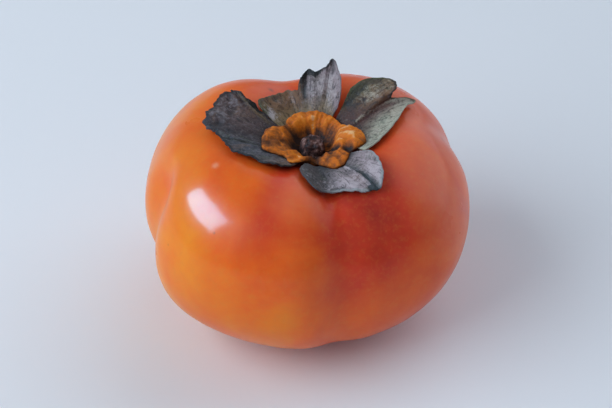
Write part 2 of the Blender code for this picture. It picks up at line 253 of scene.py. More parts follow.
# from the painted shade in the ring's folds and round the stub to the painted highlight on its ridges
TISSUE_TONES = ((0.0, (0.028, 0.012, 0.009)),
                (0.22, (0.110, 0.036, 0.012)),
                (0.42, (0.310, 0.085, 0.013)),
                (0.62, (0.640, 0.165, 0.014)),
                (0.84, (0.780, 0.240, 0.022)),
                (1.0, (0.850, 0.480, 0.220)))
WOOD_TONES = ((0.36, (0.010, 0.005, 0.005)),
              (0.48, (0.050, 0.020, 0.016)),
              (0.56, (0.150, 0.070, 0.060)),
              (0.66, (0.460, 0.300, 0.270)))
HUSK_TONES = ((0.35, (0.012, 0.008, 0.006)),
              (0.65, (0.085, 0.050, 0.030)))
CHARCOAL = (0.050, 0.036, 0.041)
PLUM = (0.108, 0.063, 0.060)
ROSE = (0.270, 0.175, 0.160)
SLATE = (0.075, 0.068, 0.074)
# grey with a painted lavender sheen, the tint of the bluish room on the waxy surface
LAVENDER_SHEEN_GREY = (0.370, 0.305, 0.335)
OLIVE = (0.205, 0.145, 0.078)
UMBER = (0.240, 0.130, 0.072)
MOSS = (0.105, 0.115, 0.050)
SILVER_GREEN = (0.460, 0.470, 0.380)
MAROON = (0.085, 0.028, 0.020)
BLUE_GREY = (0.070, 0.069, 0.088)
BLUE_PALE = (0.330, 0.360, 0.380)
BEIGE = (0.270, 0.190, 0.095)
BARK = (0.120, 0.068, 0.042)
BLACK = (0.016, 0.013, 0.015)
RUSTY_PATCH = (0.190, 0.105, 0.062)
GREEN_PATCH = (0.105, 0.130, 0.085)
LILAC_PATCH = (0.200, 0.170, 0.195)
CLOUD_DARK = (0.026, 0.018, 0.020)
# painted shade in the sepals' hollows
PAINTED_PIT_SHADE = (0.018, 0.016, 0.018)
PATCH_DARK = (0.024, 0.018, 0.018)
MOTTLE_DARK = (0.026, 0.020, 0.024)
VEIN_DARK = (0.022, 0.018, 0.020)
# painted shade in the sepals' deepest folds
PAINTED_FOLD_SHADE = (0.018, 0.015, 0.013)
SPECK_PALE = (0.34, 0.32, 0.31)
SPECK_DARK = (0.012, 0.011, 0.012)


# --- Shape of the skin, on arrays -------------------------------------------------------------------
def smoothstep(value):
    value = np.clip(value, 0.0, 1.0)
    return value * value * (3.0 - 2.0 * value)


def bell(distance, width):
    """1 in the middle, and about a third at one width from it."""
    return np.exp(-(distance / width) ** 2)


def angle_between(first, second):
    """From the second azimuth to the first, the short way round."""
    return (first - second + 180.0) % 360.0 - 180.0


def near_azimuth(azimuth, centre, width):
    """1 at an azimuth, and about a third at one width to either side of it."""
    return bell(angle_between(azimuth, centre), width)


def turned(radius, azimuth, z):
    """Points at a radius, an azimuth in degrees and a height."""
    angle = np.radians(azimuth)
    return np.stack(np.broadcast_arrays(radius * np.cos(angle), radius * np.sin(angle), z), axis=-1)


def groove_strength(azimuth, level):
    """About 0 on a lobe and 1 in a groove.  The level is 1 at the crown and 0 at the widest part."""
    strength = np.zeros(np.broadcast(azimuth, level).shape)
    crown = smoothstep((level - CROWN_FADE_START) / CROWN_FADE_SPAN)
    for hollow_azimuth, hollow, crease_azimuth, crease, crown_share in GROOVES:
        left = 1.0 - (1.0 - crown_share) * crown
        strength += left * hollow * near_azimuth(azimuth, hollow_azimuth, GROOVE_WIDTH)
        strength += left * crease * near_azimuth(azimuth, crease_azimuth, CREASE_WIDTH)
    return strength


def outline_factor(azimuth, polar):
    """How far out the skin is compared with a round fruit, at an angle from the crown."""
    fade = GROOVE_AT_BASE + (1.0 - GROOVE_AT_BASE) * (np.cos(polar) + 1.0) / 2.0
    corner = np.cos(np.radians(4.0 * (azimuth - SQUARE_AZIMUTH)))
    return 1.0 - GROOVE_DEPTH * fade * groove_strength(azimuth, np.cos(polar)) + SQUARE * corner


def crown_hollow(x, y):
    """Depth of the basin round the calyx and of the grooves where they run into it."""
    from_calyx = np.hypot(x - CALYX_X, y - CALYX_Y)
    basin = BASIN_DEPTH * bell(from_calyx, BASIN_RADIUS)
    azimuth = np.degrees(np.arctan2(y, x))
    dip = SHOULDER_DIP * groove_strength(azimuth, 1.0)
    return basin + dip * bell(from_calyx - SHOULDER_DIP_RADIUS, SHOULDER_DIP_SPREAD)


def base_height(z, radius):
    """Height over the floor of the underside, cut flat where it rests, with a dimple in the middle."""
    above = z - REST_LEVEL
    rounded = (above + REST_BLEND) ** 2 / (4.0 * REST_BLEND)
    above = np.where(above < -REST_BLEND, 0.0, np.where(above < REST_BLEND, rounded, above))
    inside = np.clip(1.0 - (radius / DIMPLE_RADIUS) ** 2, 0.0, None)
    return above + DIMPLE_DEPTH * inside ** 2


def skin_points(polar, azimuth):
    """Points of the skin at an angle from the crown in radians and an azimuth in degrees."""
    angle = np.radians(azimuth)
    radius = LOBE_RADIUS * np.sin(polar) ** SIDE_POWER * outline_factor(azimuth, polar)
    x = radius * np.cos(angle)
    y = radius * np.sin(angle)
    level = np.cos(polar)
    full = np.abs(level) ** CROWN_POWER
    upper = CROWN_RISE * full - crown_hollow(x, y) - REST_LEVEL
    lower = base_height(-BASE_DROP * full, radius)
    return np.stack((x, y, np.where(level > 0.0, upper, lower)), axis=-1)


def crown_height(x, y):
    """Height of the skin over a place, its angle from the crown found by repeated steps."""
    radius = np.hypot(x, y)
    azimuth = np.degrees(np.arctan2(y, x))
    polar = np.full_like(radius, 0.5)
    for _ in range(CROWN_STEPS):
        share = np.minimum(radius / (LOBE_RADIUS * outline_factor(azimuth, polar)), NEAR_RIM)
        polar = np.arcsin(share ** (1.0 / SIDE_POWER))
    return CROWN_RISE * np.cos(polar) ** CROWN_POWER - crown_hollow(x, y) - REST_LEVEL


def over_calyx(azimuth, radius, lift):
    """Points at an azimuth and a radius from the middle of the calyx, lifted over the skin."""
    x = CALYX_X + radius * np.cos(np.radians(azimuth))
    y = CALYX_Y + radius * np.sin(np.radians(azimuth))
    return np.stack((x, y, crown_height(x, y) + lift), axis=-1)


def body_shift():
    """How far the frame's fruit is moved from the fruit of the shape rules, found at its widest part."""
    polar, azimuth = np.meshgrid(np.radians(WIDEST_ANGLES), np.arange(0, 360, 2.0))
    points = skin_points(polar, azimuth).reshape(-1, 3)
    middle = (points.min(axis=0) + points.max(axis=0)) / 2.0
    low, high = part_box("fruit")
    return np.array(((low[0] + high[0]) / 2.0 - middle[0], (low[1] + high[1]) / 2.0 - middle[1], low[2]))


SHIFT = body_shift()


# --- Noise helpers ----------------------------------------------------------------------------------
def noise_at(points, cell, seed=0.0):
    """Smooth noise from -1 to 1 at each point, with features about one cell across."""
    offset = Vector((seed, 2.3 * seed, -1.7 * seed))
    flat = points.reshape(-1, points.shape[-1])
    values = [noise.noise(Vector(point) / cell + offset) for point in flat]
    return np.array(values).reshape(points.shape[:-1])


def ridge_at(points, cell, seed=0.0):
    """Noise folded into sharp ridges, from 0 to 1."""
    return 1.0 - np.abs(2.0 * noise_at(points, cell, seed)).clip(0.0, 1.0)


# --- Meshes -----------------------------------------------------------------------------------------
def set_points(mesh, points):
    mesh.vertices.foreach_set("co", (points + SHIFT).astype(np.float32).ravel())
    mesh.update()


def set_values(mesh, name, values):
    """Store one number per vertex under a name that a material can read."""
    attribute = mesh.attributes.new(name, "FLOAT", "POINT")
    attribute.data.foreach_set("value", np.asarray(values, dtype=np.float32).ravel())


def make_object(name, mesh, material, node):
    mesh.shade_smooth()
    mesh.materials.append(material)
    piece = bpy.data.objects.new(name, mesh)
    bpy.context.scene.collection.objects.link(piece)
    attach(piece, "root")
    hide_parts(node)
    return piece


def finished_mesh(name, shape):
    """The mesh of a built shape, and where its vertices are."""
    mesh = bpy.data.meshes.new(name)
    shape.to_mesh(mesh)
    shape.free()
    places = np.empty(len(mesh.vertices) * 3)
    mesh.vertices.foreach_get("co", places)
    return mesh, places.reshape(-1, 3)


def sphere_mesh(name, size):
    """A UV sphere mesh with the polar angle in radians and azimuth in degrees of its vertices."""
    segments, rings = size
    sphere = bmesh.new()
    bmesh.ops.create_uvsphere(sphere, u_segments=segments, v_segments=rings, radius=1.0)
    bmesh.ops.recalc_face_normals(sphere, faces=sphere.faces)
    mesh, units = finished_mesh(name, sphere)
    polar = np.arccos(np.clip(units[:, 2], -1.0, 1.0))
    azimuth = np.degrees(np.arctan2(units[:, 1], units[:, 0]))
    return mesh, polar, azimuth


def sheet_mesh(name, points):
    """A mesh sheet from a grid of points, with the column and row of each of its vertices."""
    columns, rows = points.shape[:2]
    sheet = bmesh.new()
    bmesh.ops.create_grid(sheet, x_segments=columns - 1, y_segments=rows - 1, size=0.5)
    mesh, units = finished_mesh(name, sheet)
    column = np.rint((units[:, 0] + 0.5) * (columns - 1)).astype(int)
    row = np.rint((units[:, 1] + 0.5) * (rows - 1)).astype(int)
    set_points(mesh, points[column, row])
    return mesh, column, row


# --- Material helpers -------------------------------------------------------------------------------
class Look:
    """A short way to build the nodes of a material."""

    def __init__(self, name):
        self.material = bpy.data.materials.new(name)
        self.material.use_nodes = True
        self.tree = self.material.node_tree
        self.shader = self.tree.nodes["Principled BSDF"]
        self.coordinates = self.tree.nodes.new("ShaderNodeTexCoord").outputs["Object"]

    def link(self, source, target):
        self.tree.links.new(source, target)

    def feed(self, socket, value):
        if isinstance(value, bpy.types.NodeSocket):
            self.link(value, socket)
        else:
            socket.default_value = value

    def attribute(self, name):
        node = self.tree.nodes.new("ShaderNodeAttribute")
        node.attribute_name = name
        return node.outputs["Fac"]

    def noise(self, scale, detail=3.0, roughness=0.5, distortion=0.0, vector=None):
        node = self.tree.nodes.new("ShaderNodeTexNoise")
        self.link(vector or self.coordinates, node.inputs["Vector"])
        node.inputs["Scale"].default_value = scale
        node.inputs["Detail"].default_value = detail
        node.inputs["Roughness"].default_value = roughness
        node.inputs["Distortion"].default_value = distortion
        return node.outputs["Fac"]

    def cells(self, scale):
        """Distance from the nearest of some scattered points."""
        node = self.tree.nodes.new("ShaderNodeTexVoronoi")
        self.link(self.coordinates, node.inputs["Vector"])
        node.inputs["Scale"].default_value = scale
        return node.outputs["Distance"]

    def ramp(self, value, stops):
        """Colours along a value.  A stop is a position and its colour."""
        node = self.tree.nodes.new("ShaderNodeValToRGB")
        self.feed(node.inputs["Fac"], value)
        elements = node.color_ramp.elements
        while len(elements) < len(stops):
            elements.new(0.5)
        for element, (position, colour) in zip(elements, stops):
            element.position = position
            element.color = (*colour, 1.0)
        return node.outputs["Color"]

    def mix(self, share, first, second):
        """The first colour, with a share of the second."""
        node = self.tree.nodes.new("ShaderNodeMix")
        node.data_type = "RGBA"
        self.feed(node.inputs["Factor"], share)
        colours = [socket for socket in node.inputs if socket.type == "RGBA"]
        for socket, value in zip(colours, (first, second)):
            self.feed(socket, value if isinstance(value, bpy.types.NodeSocket) else (*value, 1.0))
        return next(socket for socket in node.outputs if socket.type == "RGBA")

    def math(self, operation, first, second, clamp=False):
        node = self.tree.nodes.new("ShaderNodeMath")
        node.operation = operation
        node.use_clamp = clamp
        self.feed(node.inputs[0], first)
        self.feed(node.inputs[1], second)
        return node.outputs["Value"]

    def vary(self, value, middle, amount):
        """A noise value turned into a change up or down by about half the amount."""
        return self.math("MULTIPLY", self.math("SUBTRACT", value, middle), amount)

    def remap(self, value, low, high, new_low=0.0, new_high=1.0):
        node = self.tree.nodes.new("ShaderNodeMapRange")
        node.interpolation_type = "SMOOTHSTEP"
        self.feed(node.inputs["Value"], value)
        for name, number in (("From Min", low), ("From Max", high),
                             ("To Min", new_low), ("To Max", new_high)):
            node.inputs[name].default_value = number
        return node.outputs["Result"]

    def bump(self, height, strength, distance, normal=None):
        node = self.tree.nodes.new("ShaderNodeBump")
        self.link(height, node.inputs["Height"])
        node.inputs["Strength"].default_value = strength
        node.inputs["Distance"].default_value = distance
        if normal is not None:
            self.link(normal, node.inputs["Normal"])
        return node.outputs["Normal"]

    def set(self, **values):
        """Feed the shader's inputs, which are named with underscores for spaces."""
        for name, value in values.items():
            self.feed(self.shader.inputs[name.replace("_", " ")], value)

    def combine(self, x, y, z):
        node = self.tree.nodes.new("ShaderNodeCombineXYZ")
        for socket, value in zip(node.inputs, (x, y, z)):
            self.feed(socket, value)
        return node.outputs["Vector"]


# --- Materials --------------------------------------------------------------------------------------
def skin_material():
    """Waxy orange skin, redder to the right, in the grooves and round the calyx, where the deeper red is
    painted shade, and paler in a few spots of painted sheen.
    """
    look = Look("skin_waxy_orange")
    blotch = look.noise(38.0, detail=4.0, roughness=0.55, distortion=0.6)
    patch = look.noise(110.0, detail=4.0, roughness=0.6)
    # the skin's redness with its painted shade, varied by random blotches
    tone = look.math("ADD", look.attribute("redness_and_shade"), look.vary(blotch, 0.5, 0.75))
    tone = look.math("ADD", tone, look.vary(patch, 0.5, 0.30), clamp=True)
    colour = look.ramp(tone, SKIN_TONES)
    grain = look.noise(900.0, detail=2.0, roughness=0.6)
    colour = look.mix(look.remap(grain, 0.45, 0.75, 0.0, 0.14), colour, SKIN_GRAIN)
    dots = look.cells(420.0)
    colour = look.mix(look.remap(dots, 0.02, 0.16, 0.10, 0.0), colour, SKIN_DOT)
    specks = look.remap(look.cells(75.0), 0.010, 0.045, 1.0, 0.0)
    colour = look.mix(look.math("MULTIPLY", specks, 0.65), colour, SKIN_SPECK)
    scar = look.attribute("scar")
    colour = look.mix(scar, colour, SCAR_TONE)
    colour = look.mix(look.attribute("stain"), colour, STAIN_TONE)
    # the even pale haze with the spots of painted sheen, made cloudy
    cloudy = look.remap(look.noise(24.0, detail=5.0, roughness=0.6), 0.25, 0.75, 0.4, 1.2)
    colour = look.mix(look.math("MULTIPLY", look.attribute("haze_and_sheen"), cloudy), colour, SKIN_HAZE_AND_SHEEN)
    rough = look.remap(look.noise(65.0, detail=4.0), 0.3, 0.7, 0.27, 0.38)
    rough = look.math("ADD", rough, look.math("MULTIPLY", scar, 0.25))
    look.set(Subsurface_Weight=0.12, Subsurface_Radius=(1.0, 0.30, 0.08), Subsurface_Scale=0.0025)
    look.set(Specular_IOR_Level=0.12, IOR=1.40, Coat_Weight=0.29, Coat_Roughness=0.14)
    fine = look.bump(look.noise(1400.0, detail=2.0), 0.10, 0.00010)
    pores = look.bump(look.remap(dots, 0.02, 0.14), 0.18, 0.00005, fine)
    waves = look.bump(look.noise(170.0, detail=3.0), 0.16, 0.00030, pores)
    look.set(Base_Color=colour, Roughness=rough, Normal=waves)
    return look.material


def ring_material():
    """Dry, felted orange tissue, darker brown in its folds and towards the stub as painted shade, and
    paler on its ridges as painted highlight.
    """
    look = Look("calyx_ring_tissue")
    lumps = look.noise(420.0, detail=4.0, roughness=0.65, distortion=0.8)
    fibres = look.noise(1500.0, detail=3.0, roughness=0.7)
    tone = look.math("ADD", look.attribute("crest"), look.vary(lumps, 0.5, 0.8))
    tone = look.math("ADD", tone, look.vary(fibres, 0.5, 0.4), clamp=True)
    look.set(Base_Color=look.ramp(tone, TISSUE_TONES), Roughness=look.remap(lumps, 0.3, 0.7, 0.70, 0.92))
    look.set(Specular_IOR_Level=0.12)
    look.set(Subsurface_Weight=0.15, Subsurface_Radius=(1.0, 0.4, 0.1), Subsurface_Scale=0.0008)
    grains = look.bump(fibres, 0.55, 0.00025)
    look.set(Normal=look.bump(lumps, 0.55, 0.00060, grains))
    return look.material


def stub_material():
    """Dark broken wood with paler fibre ends."""
    look = Look("stub_dark_wood")
    grain = look.noise(900.0, detail=4.0, roughness=0.7)
    lumps = look.noise(380.0, detail=3.0, roughness=0.6)
    tone = look.math("ADD", look.math("MULTIPLY", grain, 0.6), look.math("MULTIPLY", lumps, 0.4))
    look.set(Base_Color=look.ramp(tone, WOOD_TONES), Roughness=look.remap(grain, 0.3, 0.7, 0.6, 0.9))
    look.set(Specular_IOR_Level=0.15, Normal=look.bump(grain, 0.7, 0.00035))
    return look.material


def sepal_material(name, across_tones, base_tone, base_reach, rim_tones, pale_and_highlight_tone, seed):
    """Dried sepal: tones that change across it, mottled, with darker veins, base and rim, painted shade in
    its pits and folds, and painted highlight on its raised parts and on some of its pale spots.
    The base's tone fades out at the share of the length that base_reach gives."""
    look = Look(name)
    along = look.attribute("along")
    across = look.attribute("across")
    relief = look.attribute("relief")
    cloud = look.noise(340.0, detail=5.0, roughness=0.65, distortion=0.7)
    hue = look.noise(230.0, detail=4.0, roughness=0.6, distortion=1.0)
    mottle = look.noise(820.0, detail=4.0, roughness=0.65, distortion=1.2)
    patches = look.noise(560.0, detail=3.0, roughness=0.6, distortion=1.5)
    specks = look.noise(2100.0, detail=3.0, roughness=0.7)
    colour = look.ramp(look.math("ADD", across, look.vary(cloud, 0.5, 0.10)), across_tones)
    colour = look.mix(look.remap(hue, 0.54, 0.70, 0.0, 0.50), colour, RUSTY_PATCH)
    colour = look.mix(look.remap(hue, 0.46, 0.32, 0.0, 0.40), colour, GREEN_PATCH)
    colour = look.mix(look.remap(patches, 0.52, 0.68, 0.0, 0.45), colour, LILAC_PATCH)
    near_base = look.math("ADD", along, look.vary(cloud, 0.5, 0.60))
    colour = look.mix(look.remap(near_base, base_reach, 0.15, 0.0, 0.90), colour, base_tone)
    colour = look.mix(look.remap(cloud, 0.28, 0.48, 0.55, 0.0), colour, CLOUD_DARK)
    # painted shade in the hollows of the crumpled surface
    colour = look.mix(look.remap(relief, -0.55, 0.0, 0.55, 0.0), colour, PAINTED_PIT_SHADE)
    colour = look.mix(look.remap(patches, 0.47, 0.35, 0.0, 0.55), colour, PATCH_DARK)
    # painted highlight and shade: the raised parts and the pale spots are paler, the sunken parts darker
    light = look.math("ADD", look.attribute("pale"), look.math("MULTIPLY", relief, 0.50))
    light = look.math("ADD", light, look.vary(mottle, 0.52, 2.0))
    colour = look.mix(look.remap(light, 0.10, 0.95, 0.0, 0.80), colour, pale_and_highlight_tone)
    colour = look.mix(look.remap(mottle, 0.47, 0.33, 0.0, 0.28), colour, MOTTLE_DARK)
    strands = look.combine(look.math("MULTIPLY", across, 46.0), look.math("MULTIPLY", along, 3.5), seed)
    veins = look.noise(1.0, detail=3.0, roughness=0.6, distortion=0.6, vector=strands)
    colour = look.mix(look.remap(veins, 0.48, 0.32, 0.0, 0.60), colour, VEIN_DARK)
    rim = look.math("ADD", look.attribute("rim"), look.vary(cloud, 0.5, 1.0))
    colour = look.mix(look.remap(rim, 0.45, 0.95, 0.0, 0.80), colour, look.ramp(across, rim_tones))
    # painted shade where the surface is lowest and in the darkest spots
    colour = look.mix(look.remap(light, -0.50, -1.10, 0.0, 0.90), colour, PAINTED_FOLD_SHADE)
    colour = look.mix(look.remap(specks, 0.58, 0.74, 0.0, 0.40), colour, SPECK_PALE)
    colour = look.mix(look.remap(specks, 0.44, 0.30, 0.0, 0.50), colour, SPECK_DARK)
    look.set(Base_Color=colour, Roughness=look.remap(cloud, 0.3, 0.7, 0.55, 0.80))
    look.set(Specular_IOR_Level=0.16, Sheen_Weight=0.05, Sheen_Roughness=0.5)
    rough = look.bump(specks, 0.45, 0.00018)
    creases = look.bump(veins, 0.45, 0.00035, rough)
    lumps = look.bump(mottle, 0.45, 0.00035, creases)
    look.set(Normal=look.bump(cloud, 0.60, 0.00060, lumps))
    return look.material


def husk_material():
    """Dark dry remnant under the fruit."""
    look = Look("blossom_husk_dark")
    grain = look.noise(1300.0, detail=3.0, roughness=0.7)
    look.set(Base_Color=look.ramp(grain, HUSK_TONES), Roughness=0.9, Normal=look.bump(grain, 0.8, 0.0003))
    return look.material


def floor_material():
    """Pale matt paper, a little uneven."""
    look = Look("floor_pale_paper")
    darker = tuple(channel * FLOOR_SHADE for channel in FLOOR_COLOUR)
    colour = look.mix(look.remap(look.noise(2.5, detail=2.0), 0.3, 0.7), FLOOR_COLOUR, darker)
    weave = look.bump(look.noise(700.0, detail=3.0), 0.10, 0.0002)
    look.set(Base_Color=colour, Roughness=0.75, Specular_IOR_Level=0.0, Normal=weave)
    return look.material


# --- Fruit ------------------------------------------------------------------------------------------
def spot(points, centre, radius):
    """1 at a place on the skin and 0 beyond a radius from it."""
    away = np.linalg.norm(points - centre, axis=-1)
    return smoothstep(1.0 - away / radius)


def skin_place(azimuth, polar):
    return skin_points(np.array([math.radians(polar)]), np.array([float(azimuth)]))[0]


def strongest_spot(points, spots):
    """At each point, the strongest of some soft spots on the skin."""
    values = [strength * spot(points, skin_place(azimuth, polar), radius)
              for azimuth, polar, radius, strength in spots]
    return np.maximum.reduce(values)


def skin_redness_and_shade(points, azimuth, groove):
    """How red the skin is, from 0 for yellow-orange to 1 for dark red; besides its own redness this holds
    painted shade to the right, in the grooves, round and behind the calyx and in the front valley, and it
    is redder and darker low down.
    """
    from_calyx = np.hypot(points[:, 0] - CALYX_X, points[:, 1] - CALYX_Y)
    upper = smoothstep((points[:, 2] - UPPER_START) / UPPER_SPAN)
    redness_and_shade = BLUSH_BASE + PAINTED_SHADE_TO_RIGHT * points[:, 0] / LOBE_RADIUS + PAINTED_SHADE_IN_GROOVES * groove * upper
    redness_and_shade += PAINTED_SHADE_AT_CALYX * upper * bell(from_calyx, PAINTED_SHADE_AT_CALYX_RADIUS)
    for streak_azimuth, half_width, extra in RED_STREAKS_AND_SHADE:
        redness_and_shade += extra * near_azimuth(azimuth, streak_azimuth, half_width) * upper
    behind = near_azimuth(azimuth, BEHIND_AZIMUTH, BEHIND_WIDTH)
    redness_and_shade += PAINTED_SHADE_BEHIND_CALYX * behind * bell(from_calyx, BEHIND_RADIUS) * upper
    return redness_and_shade + REDDER_LOW * smoothstep((UNDER_HEIGHT - points[:, 2]) / UNDER_HEIGHT)


def skin_stain(points):
    """Dark marks: two specks, and the dry middle of the underside."""
    from_axis = np.hypot(points[:, 0], points[:, 1])
    dimple = DIMPLE_STAIN * smoothstep(1.0 - from_axis / DIMPLE_STAIN_RADIUS)
    return np.maximum(strongest_spot(points, STAINS), dimple * (points[:, 2] < DIMPLE_STAIN_BELOW))


def make_fruit():
    mesh, polar, azimuth = sphere_mesh("persimmon_body", FRUIT_MESH)
    crowded = np.clip(polar - RING_CROWDING * np.sin(2.0 * polar), 0.0, math.pi)
    points = skin_points(crowded, azimuth)
    outward = points - FRUIT_MIDDLE
    outward /= np.linalg.norm(outward, axis=-1, keepdims=True)
    free = smoothstep(points[:, 2] / SMOOTH_BELOW)
    lumps = SKIN_LUMP * noise_at(points, SKIN_LUMP_WIDTH, 3.0)
    lumps = lumps + SKIN_RIPPLE * noise_at(points, SKIN_RIPPLE_WIDTH, 7.0)
    points = points + outward * ((lumps - SKIN_INSET) * free)[:, None]
    set_points(mesh, points)
    groove = np.clip(groove_strength(azimuth, np.cos(crowded)), 0.0, GROOVE_SHADE_LIMIT)
    # the even haze, and painted sheen at the front and at the sides
    haze = HAZE_EVERYWHERE + strongest_spot(points, FRONT_SHEEN_SPOTS)
    set_values(mesh, "redness_and_shade", skin_redness_and_shade(points, azimuth, groove))
    set_values(mesh, "haze_and_sheen", np.maximum(haze, strongest_spot(points, SIDE_SHEEN_SPOTS)))
    set_values(mesh, "scar", strongest_spot(points, SCARS))
    set_values(mesh, "stain", skin_stain(points))
    make_object("persimmon_body", mesh, skin_material(), "fruit")


# --- Calyx ring and stub ----------------------------------------------------------------------------
def ring_reach_and_crest(azimuth):
    """How far out the ring reaches and how high it stands, all the way round."""
    around = turned(1.0, azimuth, 0.0)
    reach = np.full_like(azimuth, RING_RADIUS)
    crest = np.full_like(azimuth, RING_CREST_LIFT)
    for lump_azimuth, half_width, extra_reach, extra_height in RING_LUMPS:
        weight = near_azimuth(azimuth, lump_azimuth, half_width)
        reach += extra_reach * weight
        crest += extra_height * weight
    reach += RING_WAVER * noise_at(around * 3.2, 1.0, 2.0)
    reach += RING_FINE_WAVER * noise_at(around * 8.0, 1.0, 5.0)
    return reach, crest


def pale_strand(azimuth, radius):
    """How much paler the ring is on the strand that runs up it at the back."""
    centre, half_width, middle, half_reach, strength = STRAND
    along_ring = (angle_between(azimuth, centre) / half_width) ** 2
    across_ring = ((radius - middle) / half_reach) ** 2
    return strength * np.exp(-along_ring - across_ring)


def make_ring():
    mesh, polar, azimuth = sphere_mesh("calyx_ring", RING_MESH)
    reach, crest = ring_reach_and_crest(azimuth)
    radius = reach * np.minimum(polar, math.pi - polar) / (math.pi / 2.0)
    rise = smoothstep((radius - RING_SEAT_RADIUS) / (RING_CREST_RADIUS - RING_SEAT_RADIUS))
    fall = np.clip((radius - RING_CREST_RADIUS) / (reach - RING_CREST_RADIUS), 0.0, 1.0)
    inner = RING_SEAT_LIFT + (crest - RING_SEAT_LIFT) * rise
    outer = RING_EDGE_LIFT + (crest - RING_EDGE_LIFT) * np.sqrt(np.clip(1.0 - fall ** 3, 0.0, None))
    top = np.where(radius < RING_CREST_RADIUS, inner, outer)
    under = smoothstep((radius - RING_UNDER_RADIUS) / RING_UNDER_SPREAD)
    under = RING_UNDER_LIFT + (RING_EDGE_LIFT - RING_UNDER_LIFT) * under
    flat = turned(radius, azimuth, 0.0)
    lively = 0.45 + 0.75 * near_azimuth(azimuth, LIVELY_AZIMUTH, LIVELY_WIDTH)
    ruffles = lively * (ridge_at(flat, RING_RUFFLE_WIDTH, 4.0) - 0.5)
    grains = noise_at(flat, RING_GRAIN_WIDTH, 9.0)
    pleats = turned(1.0, azimuth, 0.0) * 7.0 + flat / RING_PLEAT_WIDTH
    pleats = lively * (ridge_at(pleats, 1.0, 6.0) - 0.5)
    upper = polar < math.pi / 2.0 - 0.01
    rough = RING_RUFFLE * ruffles + RING_GRAIN * grains + RING_PLEAT * pleats
    rough *= rise * (0.35 + 0.65 * (1.0 - fall))
    set_points(mesh, over_calyx(azimuth, radius, np.where(upper, top + rough, under)))
    # painted shade and highlight: darker low by the stub and in the hollows of the ruffles and pleats,
    # paler on their ridges
    tone = 0.06 + 0.58 * rise + 0.42 * ruffles + 0.20 * pleats
    for tone_azimuth, half_width, extra in RING_TONES:
        tone += extra * near_azimuth(azimuth, tone_azimuth, half_width)
    tone += pale_strand(azimuth, radius)
    set_values(mesh, "crest", np.where(upper, tone, 0.2))
    make_object("calyx_ring", mesh, ring_material(), "calyx_disc")


def make_stub():
    mesh, polar, azimuth = sphere_mesh("stem_stub_wood", STUB_MESH)
    share = np.minimum(polar, math.pi - polar) / (math.pi / 2.0)
    wide = np.minimum(share * STUB_FACE, 1.0)
    around = turned(1.0, azimuth, share)
    side_drop = np.clip((share * STUB_FACE - 1.0) / (STUB_FACE - 1.0), 0.0, 1.0)
    level = np.where(polar < math.pi / 2.0, 1.0, -1.0) * (1.0 - side_drop)
    bark = 0.10 * noise_at(around * 2.6, 1.0, 1.0) + 0.05 * noise_at(around * 9.0, 1.0, 8.0)
    radius = STUB_RADIUS * wide * (1.0 - STUB_TAPER * level) * (1.0 + bark)
    flat = turned(radius, azimuth, 0.0) + np.array((CALYX_X, STUB_Y, 0.0))
    broken = STUB_CHIP * noise_at(flat, STUB_CHIP_WIDTH, 3.0)
    broken = broken + STUB_SPLINTER * ridge_at(flat, STUB_SPLINTER_WIDTH, 6.0)
    seat = crown_height(np.array([CALYX_X]), np.array([CALYX_Y]))[0] + RING_SEAT_LIFT - RING_UNDER_LIFT
    z = seat + STUB_HEIGHT * (level + 1.0) / 2.0
    z = z + np.where(level > 0.2, broken, 0.0) * np.clip(level, 0.0, 1.0)
    z = z + STUB_DOME * np.clip(level, 0.0, 1.0) * (1.0 - wide)
    set_points(mesh, np.stack((flat[:, 0], flat[:, 1], z), axis=-1))
    make_object("stem_stub_wood", mesh, stub_material(), "stem_stub")


# --- Sepals -----------------------------------------------------------------------------------------
def across_sheet(values):
    """A smooth curve through evenly spaced values, sampled once per column of a sepal's sheet."""
    values = np.asarray(values, dtype=float)
    padded = np.concatenate(([2 * values[0] - values[1]], values, [2 * values[-1] - values[-2]]))
    place = np.linspace(0.0, len(values) - 1.0, SEPAL_COLUMNS)
    index = np.minimum(place.astype(int), len(values) - 2)
    share = place - index
    before, start, end, after = (padded[index + step] for step in range(4))
    bend = 2 * before - 5 * start + 4 * end - after + share * (3 * (start - end) + after - before)
    return (start + 0.5 * share * (end - before + share * bend))[:, None]


def patch_sum(patches, across, along):
    """Soft spots on a sepal: share across, share along, half widths and strength of each."""
    total = 0.0 * across * along
    for centre_across, centre_along, half_across, half_along, strength in patches:
        away = ((across - centre_across) / half_across) ** 2 + ((along - centre_along) / half_along) ** 2
        total = total + strength * np.exp(-away)
    return total


